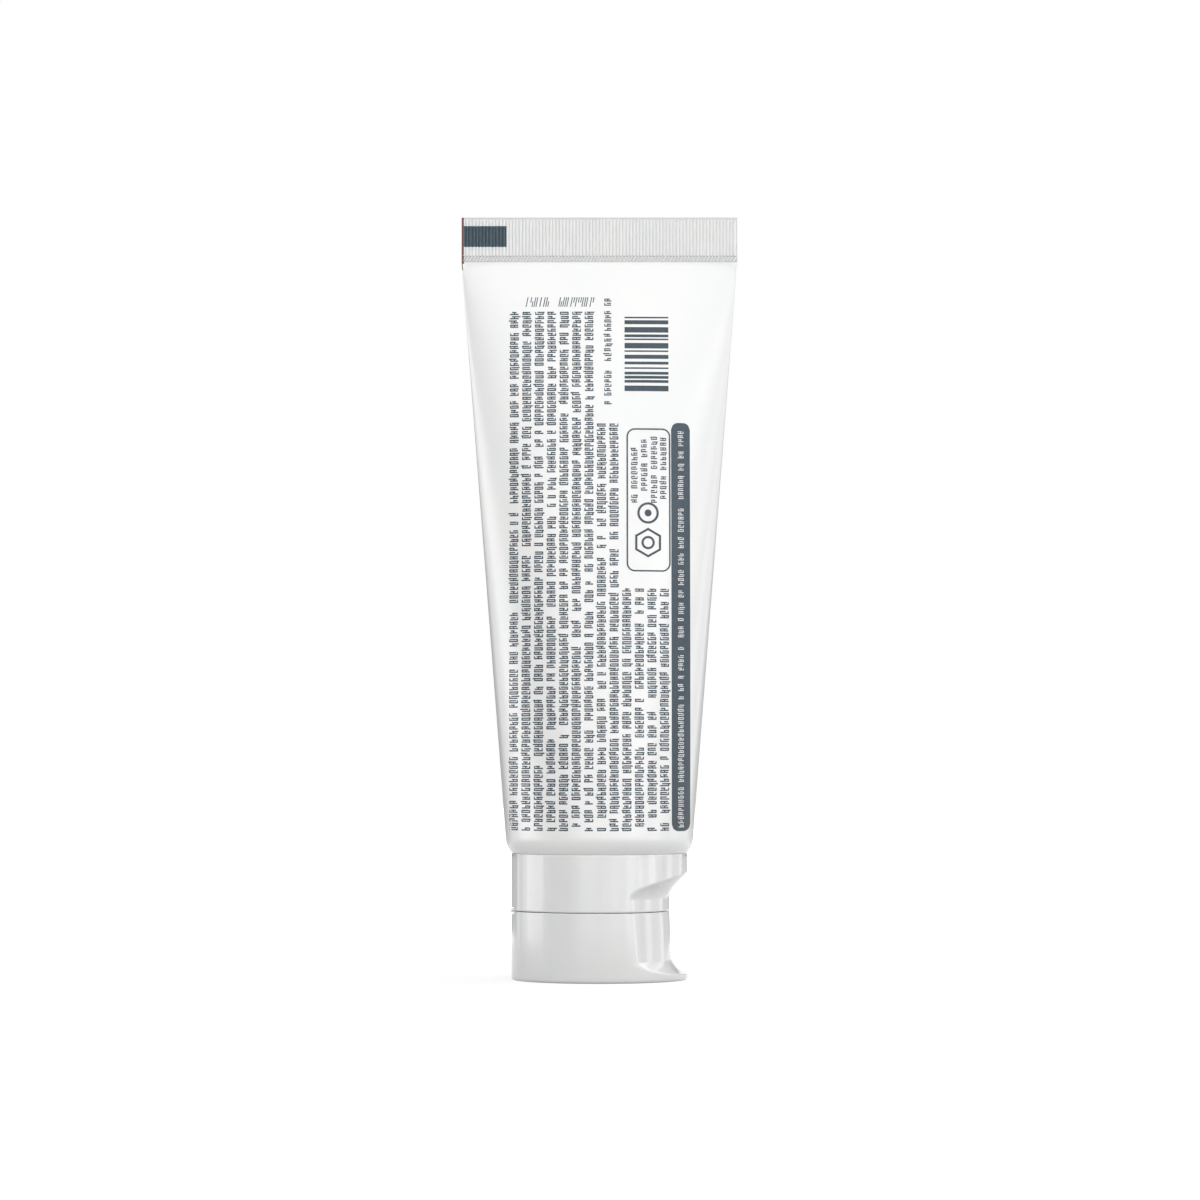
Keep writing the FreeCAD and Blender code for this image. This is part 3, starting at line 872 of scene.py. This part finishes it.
def skin(work, rings, looped):
    """Skins a chain of rings. Looped joins the last to the first; otherwise both ends are closed."""
    made = [[work.verts.new(point) for point in ring] for ring in rings]
    pairs = list(zip(made, made[1:]))
    if looped:
        pairs.append((made[-1], made[0]))
    else:
        work.faces.new(made[0])
        work.faces.new(made[-1])
    for low, high in pairs:
        for k in range(len(low)):
            work.faces.new([low[k - 1], low[k], high[k], high[k - 1]])


def polar(radius, angle, z):
    """A point at a radius and height in millimetres, and at an angle round the axis."""
    return Vector((radius * MM * math.cos(angle), radius * MM * math.sin(angle), z * MM))


def lathe(work, profile, sides=96):
    """Skins a closed profile of (radius, height) pairs, in millimetres, turned round the axis."""
    angles = [math.tau * k / sides for k in range(sides)]
    skin(work, [[polar(radius, angle, z) for angle in angles] for radius, z in profile], looped=True)


def rounding(radius, angles):
    """Steps over a rounded edge: how far each lies in from the side and from the end."""
    turned = [math.radians(angle) for angle in angles]
    return [(radius * (1 - math.cos(a)), radius * (1 - math.sin(a))) for a in turned]


def heights(low, high, step):
    """Evenly spaced heights from low to high, both included."""
    count = max(1, round((high - low) / step))
    return [low + (high - low) * k / count for k in range(count + 1)]


def finished_piece(name, work, material):
    """Turns a bmesh into a smooth-shaded object with one material."""
    mesh = mesh_of(name, work)
    mesh.materials.append(material)
    piece = in_scene(name, mesh)
    face_outwards(piece, cap_smooth_angle)
    print(f"{name}: {len(piece.data.vertices)} points")
    return piece

# %% [markdown]
# The cap's fixed half. Above the parting line the scoop's wall stands upright, then bends
# outwards through a round fillet and a slant until it meets the cylinder, which leaves a lip for
# the thumb. Inside, a deck carries the spout on one side and the skirt that grips the tube's neck
# on the other. The rows of rings are close together along the bend, where the surface turns.

# %% Fixed half of the cap
cap_wall = 1.3 * MM
edge_round = 0.12 * MM
base_foot = parting_height + parting_gap / 2
deck_top = base_foot + 1.3 * MM
bend_radius = 4.0 * MM
bend_foot = base_foot + 2.25 * MM
scoop_end = 21.8 * MM
seat_gap = 0.1 * MM


def base_scoop(z):
    """The scoop circle's radius at height z of the fixed half."""
    slant = math.radians(45)
    bend_top = bend_foot + bend_radius * math.sin(slant)
    if z <= bend_foot:
        return scoop_radius
    if z < bend_top:
        return scoop_radius + bend_radius - math.sqrt(bend_radius ** 2 - (z - bend_foot) ** 2)
    return scoop_radius + bend_radius * (1 - math.cos(slant)) + z - bend_top


def sleeve_radius(z):
    """The sleeve's radius inside its rounded foot."""
    below = shoulder_top - z
    return shoulder_radius - corner_radius + math.sqrt(corner_radius ** 2 - below ** 2)


def base_rings():
    """From the parting line up the outer wall, over the seat of the sleeve, and down to the deck."""
    rings = []
    for inset, rise in rounding(edge_round, (90, 60, 30)):
        rings.append(outline(cap_radius - inset, scoop_radius - inset, base_foot + rise, pocket=True))
    pocket_top = parting_height + pocket_rise
    for z in heights(base_foot + edge_round, pocket_top - 0.01 * MM, 0.2 * MM):
        rings.append(outline(cap_radius, scoop_radius, z, pocket=True))
    walls = heights(pocket_top, bend_foot, 0.4 * MM)
    walls += heights(bend_foot, scoop_end, 0.1 * MM)[1:]
    walls += heights(scoop_end, cap_top - 0.1 * MM, 0.5 * MM)[1:]
    rings += [outline(cap_radius, base_scoop(z), z) for z in walls]
    rings.append(outline(cap_radius - 0.03 * MM, None, cap_top - 0.03 * MM))
    rings.append(outline(cap_radius - 0.08 * MM, None, cap_top))
    for z in heights(sleeve_foot - seat_gap, cap_top - 0.03 * MM, 0.2 * MM)[::-1]:
        rings.append(outline(sleeve_radius(z) + seat_gap, None, z))
    inner = cap_radius - cap_wall
    rings.append(outline(inner, None, sleeve_foot - seat_gap))
    for z in heights(bend_foot, scoop_end, 0.3 * MM)[::-1]:
        rings.append(outline(inner, base_scoop(z) - cap_wall, z))
    rings.append(outline(inner, scoop_radius - cap_wall, deck_top))
    return rings


def spout_and_ring():
    """From the deck's top, down the bore, up the spout and round the locating ring."""
    spout_tip = base_foot - 4.65 * MM
    ring_foot = base_foot - 1.5 * MM
    ring_outer = 1.65 * MM
    ring_inner = 2.85 * MM
    profile = (
        (2.95, deck_top), (2.75, deck_top - 0.2 * MM), (2.75, spout_tip + 0.3 * MM),
        (2.95, spout_tip + 0.06 * MM), (3.2, spout_tip), (3.5, spout_tip + 0.06 * MM),
        (3.72, spout_tip + 0.3 * MM), (4.2, base_foot - 0.45 * MM), (4.32, base_foot - 0.15 * MM),
        (4.65, base_foot),
    )
    rings = [outline(radius * MM, None, z) for radius, z in profile]
    for inset, z in (
        (ring_inner, base_foot), (ring_inner, ring_foot + 0.15 * MM), (ring_inner - 0.15 * MM, ring_foot),
        (ring_outer + 0.25 * MM, ring_foot), (ring_outer, ring_foot + 0.25 * MM), (ring_outer, base_foot),
    ):
        rings.append(outline(cap_radius - inset, scoop_radius - inset, z))
    return rings


def skirt(work):
    """The ring that grips the neck, with its groove, cut by two slots for the neck's keys."""
    inner, outer, groove = 7.0, 8.3, 7.45
    foot, slot_foot, top = 14.6, 19.75, 21.4
    lathe(work, (
        (inner, foot), (outer, foot), (outer, slot_foot), (inner, slot_foot), (groove, 18.95),
        (inner, 18.25),
    ))
    slot_half = math.asin(0.95 / ((inner + outer) / 2))
    corners = ((inner, slot_foot), (outer, slot_foot), (outer, top), (inner, top))
    steps = 40
    for start in (slot_half, slot_half + math.pi):
        angles = [start + (math.pi - 2 * slot_half) * k / steps for k in range(steps + 1)]
        skin(work, [[polar(radius, a, z) for radius, z in corners] for a in angles], looped=False)


def hinge_tab(work, low, high):
    """A thin tab, 8 mm wide, from the pocket's floor out to the fold line."""
    outer, inner, half = -cap_radius - 0.03 * MM, pocket_floor_x + 0.28 * MM, 4 * MM
    corners = ((outer, -half), (inner, -half), (inner, half), (outer, half))
    skin(work, [[Vector((x, y, z)) for x, y in corners] for z in (low, high)], looped=False)


base_work = bmesh.new()
skin(base_work, base_rings() + spout_and_ring(), looped=True)
skirt(base_work)
hinge_tab(base_work, parting_height + 0.03 * MM, parting_height + 0.32 * MM)
cap_fixed = finished_piece("cap_fixed_half", base_work, cap_plastic)

# %% [markdown]
# The lid. Its scoop leans out a little towards the foot, has a crisp edge 4 mm above the flat
# end, and from there a hollow sweep runs out to the full round of the rim, which gives the thumb
# its lip. Its plug is a hollow post that fits the spout, stiffened by four small webs. The rows
# along the sweep are set by its arc, so they stay even where it runs nearly level.

# %% Lid of the cap
lid_top = parting_height - parting_gap / 2
lid_plate = 1.3 * MM
kink = Vector((cap_radius - scoop_depth + 0.38 * MM, 4.0 * MM))
lip = Vector((cap_radius, 1.2 * MM))
lip_sag = 0.53 * MM
rim_round = 0.6 * MM


def lip_arc(steps):
    """Points of the hollow sweep from the crisp edge out to the rim, as (x, z)."""
    chord = lip - kink
    half = chord.length / 2
    radius = (half ** 2 + lip_sag ** 2) / (2 * lip_sag)
    outward = Vector((-chord.y, chord.x)).normalized()
    centre = (kink + lip) / 2 + outward * (radius - lip_sag)
    start = math.atan2(kink.y - centre.y, kink.x - centre.x)
    swing = 2 * math.asin(half / radius)
    angles = [start + swing * k / steps for k in range(steps + 1)]
    return [(centre.x + radius * math.cos(a), centre.y + radius * math.sin(a)) for a in angles]


def lid_rings():
    """From the middle of the flat end out, up the outer wall, over the edge and down to the floor."""
    rings = [outline(5 * MM, None, 0.0), outline(13 * MM, None, 0.0)]
    for inset, rise in rounding(rim_round, (90, 72, 54, 36, 18, 0)):
        rings.append(outline(cap_radius - inset, None, rise))
    rings.append(outline(cap_radius, None, lip.y - 0.15 * MM))
    for x, z in lip_arc(30)[::-1]:
        rings.append(outline(cap_radius, x - scoop_axis_x, z))
    pocket_foot = parting_height - pocket_rise
    draft = (kink.x - scoop_axis_x - scoop_radius) / (lid_top - kink.y)
    for z in heights(kink.y + 0.05 * MM, pocket_foot, 0.5 * MM):
        rings.append(outline(cap_radius, scoop_radius + (lid_top - z) * draft, z))
    for z in heights(pocket_foot + 0.01 * MM, lid_top - edge_round, 0.2 * MM):
        rings.append(outline(cap_radius, scoop_radius, z, pocket=True))
    for inset, drop in rounding(edge_round, (30, 60, 90)):
        rings.append(outline(cap_radius - inset, scoop_radius - inset, lid_top - drop, pocket=True))
    for inset, z in (
        (cap_wall - 0.2 * MM, lid_top), (cap_wall, lid_top - 0.2 * MM),
        (cap_wall, lid_plate + 0.5 * MM), (cap_wall + 0.15 * MM, lid_plate + 0.15 * MM),
        (cap_wall + 0.5 * MM, lid_plate),
    ):
        rings.append(outline(cap_radius - inset, scoop_radius - inset, z))
    rings.append(outline(5 * MM, None, lid_plate))
    return rings


def plug(work):
    """The hollow post with its four webs."""
    lathe(work, (
        (1.0, 0.65), (3.2, 0.65), (3.2, 8.85), (3.05, 9.0), (2.55, 9.0), (2.5, 9.2), (2.1, 10.7),
        (1.9, 10.88), (1.2, 10.88), (1.0, 10.7),
    ))
    web = ((2.6, 0.65), (6.6, 0.65), (6.6, 1.3), (2.6, 5.3))
    half_thickness = 0.45 * MM
    for quarter in range(4):
        turn = math.radians(45 + 90 * quarter)
        aside = Vector((-math.sin(turn), math.cos(turn), 0)) * half_thickness
        ends = [[polar(radius, turn, z) + aside * side for radius, z in web] for side in (-1, 1)]
        skin(work, ends, looped=False)


lid_work = bmesh.new()
skin(lid_work, lid_rings(), looped=False)
plug(lid_work)
hinge_tab(lid_work, parting_height - 0.32 * MM, parting_height - 0.03 * MM)
cap_flap = finished_piece("cap_flip_lid", lid_work, cap_plastic)

# %% [markdown]
# The living hinge. On the real cap both halves are moulded in one shot and joined by a film a
# few tenths of a millimetre thick, which bends each time the lid opens. Here it is a plain strip
# across the parting line.

# %% Hinge film
film_thickness = 0.22 * MM
film_half_height = 0.3 * MM
film_rows = 12


def hinge_film():
    outer, inner, half = -cap_radius - 0.02 * MM, -cap_radius + film_thickness, 3.9 * MM
    corners = ((outer, -half), (outer, half), (inner, half), (inner, -half))
    shares = [1 - 2 * k / film_rows for k in range(film_rows + 1)]
    levels = [parting_height + film_half_height * share for share in shares]
    work = bmesh.new()
    skin(work, [[Vector((x, y, z)) for x, y in corners] for z in levels], looped=False)
    return finished_piece("hinge_film", work, cap_plastic)


film_strip = hinge_film()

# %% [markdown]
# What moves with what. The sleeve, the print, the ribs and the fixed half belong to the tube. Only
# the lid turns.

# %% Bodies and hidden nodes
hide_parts("tube_sleeve")
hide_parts("cap_base")
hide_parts("cap_lid")
prints = (
    panel_print, code_print, field_print, bars, symbols, strip, mark, strip_print, edge_line, leaning,
)
for piece in (sleeve, ribs, cap_fixed) + prints:
    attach(piece, "tube")
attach(cap_flap, "lid")
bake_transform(film_strip)
bpy.data.objects.remove(print_surface)
print("riding:", len(prints) + 5, "pieces")

# %% [markdown]
# Floor and backdrop. The picture stands on plain white. The floor is a matt pale grey board that
# takes the cap's shadow. Seen by the camera, or in a reflection, it gets light of its own, little
# near the tube and more further off, so that away from the shadow it is as white as the world
# behind it. A pale grey board throws back less light than a white one, which keeps the sleeve's
# rounded shoulder a little darker than its face, as in the picture.

# %% Floor and world
near_floor, far_floor = 0.05, 0.4
near_glow, far_glow = 0.56, 0.97
room_light = 0.64


def seen_directly(tree):
    """A value that is 1 for what the camera sees, straight or mirrored, and 0 for scattered light."""
    path = add(tree, "ShaderNodeLightPath").outputs
    seen = calc(tree, "MAXIMUM", path["Is Camera Ray"], path["Is Glossy Ray"])
    return calc(tree, "MAXIMUM", seen, path["Is Transmission Ray"])


def pale_floor():
    material, tree, output = new_material("matt_pale_board")
    far = add(tree, "ShaderNodeVectorMath", {0: own_space(tree)}, operation="LENGTH").outputs["Value"]
    own = ranged(tree, far, near_glow, far_glow, near_floor, far_floor)
    own = calc(tree, "MULTIPLY", own, seen_directly(tree))
    paint = add(tree, "ShaderNodeBsdfDiffuse", {"Color": linear("#BCBCBC")})
    glow = add(tree, "ShaderNodeEmission", {"Color": (1, 1, 1, 1), "Strength": own})
    both = add(tree, "ShaderNodeAddShader", {0: paint, 1: glow})
    tree.links.new(both.outputs[0], output.inputs[0])
    return material


def flat_panel(name, corners, material):
    """A stage piece of one flat face."""
    mesh = bpy.data.meshes.new(name)
    mesh.from_pydata(corners, [], [(0, 1, 2, 3)])
    mesh.materials.append(material)
    panel = in_scene(name, mesh)
    return panel


half_floor = 3.0
floor_corners = [(half_floor * x, half_floor * y, 0) for x, y in ((-1, -1), (1, -1), (1, 1), (-1, 1))]
flat_panel("floor", floor_corners, pale_floor())

world = bpy.data.worlds.new("white_room")
scene.world = world
world.use_nodes = True
room = world.node_tree
room.nodes.clear()
room_out = add(room, "ShaderNodeOutputWorld")
level = ranged(room, seen_directly(room), room_light, 1.0)
sky = add(room, "ShaderNodeBackground", {"Color": (1, 1, 1, 1), "Strength": level})
room.links.new(sky.outputs[0], room_out.inputs[0])
print("room light level", room_light)

# %% [markdown]
# Lamps. Six soft boxes, half a metre square and a little over a metre away, light the tube. The
# strongest stands at the right, which turns the left flank slightly grey. Close round the tube
# stands a ring of narrow bright cards. They only serve for their reflections in the gloss: a
# broad one in front, a gap at the front left that leaves a darker band, and strong ones at both
# sides that draw the upright highlights on the cap and down the sleeve's flanks. Two black flags
# behind the tube darken the very edges of the sleeve, and three low cards stand in front of them
# and at the right, no higher than the cap, so that the cap's own edges stay light.

# %% Soft boxes and reflecting cards
def compass(azimuth, rise=0.0):
    """The direction at an azimuth (0 is the camera's side, positive to the right) and a rise."""
    turn, lift = math.radians(azimuth), math.radians(rise)
    return Vector((math.cos(lift) * math.sin(turn), -math.cos(lift) * math.cos(turn), math.sin(lift)))


def area_lamp(name, away, distance, aim_height, size, level):
    """A rectangular lamp that looks at a point on the tube's axis, unseen by the camera."""
    lamp = bpy.data.lights.new(name, "AREA")
    lamp.shape = "RECTANGLE"
    lamp.size, lamp.size_y = size
    lamp.energy = level * math.pi * size[0] * size[1]
    holder = in_scene(name, lamp)
    holder.location = Vector((0, 0, aim_height)) + away * distance
    holder.rotation_euler = away.to_track_quat("Z", "Y").to_euler()
    holder.visible_camera = False
    return holder


def dark_flag(name, azimuth, span, distance=0.22, height=0.36):
    """A black panel that only reflections see, upright on the floor, its middle at an azimuth."""
    foot = compass(azimuth) * distance
    side = compass(azimuth + 90) * distance * math.tan(math.radians(span / 2))
    up = Vector((0, 0, height))
    material, tree, output = new_material("black_cloth_" + name)
    cloth = add(tree, "ShaderNodeBsdfDiffuse", {"Color": linear("#0A0A0A")})
    tree.links.new(cloth.outputs[0], output.inputs[0])
    panel = flat_panel(name, [foot - side, foot + side, foot + side + up, foot - side + up], material)
    panel.visible_camera = False
    panel.visible_diffuse = False
    panel.visible_transmission = False
    panel.visible_shadow = False


dark_flag("left_flag", -150, 34)
dark_flag("right_flag", 150, 34)

box_distance, box_aim, box_size = 1.1, 0.07, (0.5, 0.5)
boxes = (
    ("right_box", 90, 30, 3.3), ("right_front_box", 40, 30, 0.8), ("front_box", 0, 30, 1.65),
    ("left_front_box", -30, 30, 1.6), ("high_left_box", -60, 60, 0.7), ("back_box", 150, 45, 2.0),
)
for name, azimuth, rise, strength in boxes:
    area_lamp(name, compass(azimuth, rise), box_distance, box_aim, box_size, strength)

card_distance = 0.17
card_levels = {
    -130: 0.5, -110: 1.2, -100: 3.3, -90: 3.0, -80: 3.15, -70: 0.6, -30: 1.0, -20: 2.3, -10: 2.4, 0: 2.0,
    10: 2.4, 20: 2.9, 30: 2.4, 40: 4.2, 50: 2.4, 60: 0.7, 70: 2.7, 80: 1.2, 100: 2.0, 130: 0.8,
}
low_card_levels = {-150: 0.45, 62: 1.8, 150: 0.55}
for kind, aim_height, size, levels in (
    ("card", 0.15, (0.03, 0.3), card_levels), ("low_card", 0.011, (0.08, 0.022), low_card_levels),
):
    for azimuth, strength in levels.items():
        card = area_lamp(f"{kind}_{azimuth}", compass(azimuth), card_distance, aim_height, size, strength)
        card.visible_diffuse = False
print(len(boxes), "soft boxes and", len(card_levels) + len(low_card_levels), "cards")

# %% [markdown]
# Camera. The picture was taken from about 0.82 m with a long lens, at the height of the tube's
# lower third and tilted slightly up, which the curves of the cap's three edges give away.

# %% Camera
eye_height = 43.3 * MM
eye_distance = 818.5 * MM
eye_aside = 0.12 * MM
tilt = 2.245
camera = bpy.data.cameras.new("camera")
camera.lens = 123.3
camera.sensor_width = 36
camera.clip_start = 0.01
viewer = in_scene("camera", camera)
viewer.location = (eye_aside, -eye_distance, eye_height)
viewer.rotation_euler = (math.radians(90 + tilt), 0, 0)
scene.camera = viewer
scene.view_settings.view_transform = "Standard"
print("camera at", tuple(round(v, 4) for v in viewer.location))
